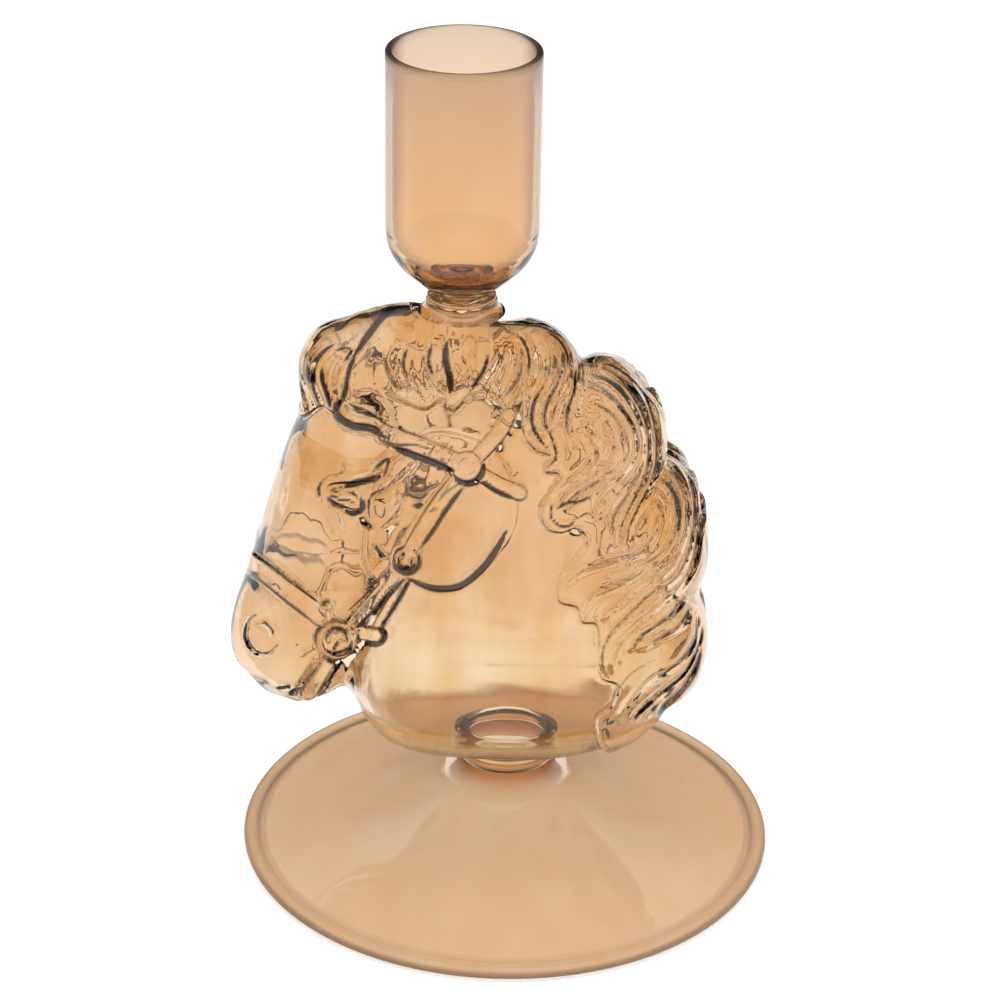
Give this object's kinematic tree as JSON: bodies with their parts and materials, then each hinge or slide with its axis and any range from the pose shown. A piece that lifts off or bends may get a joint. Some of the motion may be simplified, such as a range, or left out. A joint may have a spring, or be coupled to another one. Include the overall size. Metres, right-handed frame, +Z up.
{
  "type": "glass candle holder figurine",
  "caption": "Hollow blown-glass horse bust on a flared round foot, carrying a tall taper-candle cup on its poll.",
  "frame": {"origin": "middle of the whole object on the table, 1 mm in front of the centre of the round foot", "axes": "+Z up, the horse looks towards -X, its two flanks face -Y and +Y"},
  "size_m": [0.097, 0.095, 0.1487],
  "materials": {
    "foot_glass": "clear amber blown glass, very faint surface waviness",
    "bust_glass": "clear amber mould-blown glass, glossy, soft mould relief",
    "cup_glass": "clear amber blown glass, slightly denser, fire-polished lip",
    "weld_glass": "amber flame-worked glass, rounded beads"
  },
  "bodies": {
    "root": {"flared_foot": "foot_glass", "foot_weld": "weld_glass", "horse_bust": "bust_glass", "cup_weld": "weld_glass", "candle_cup": "cup_glass"}
  },
  "joints": []
}
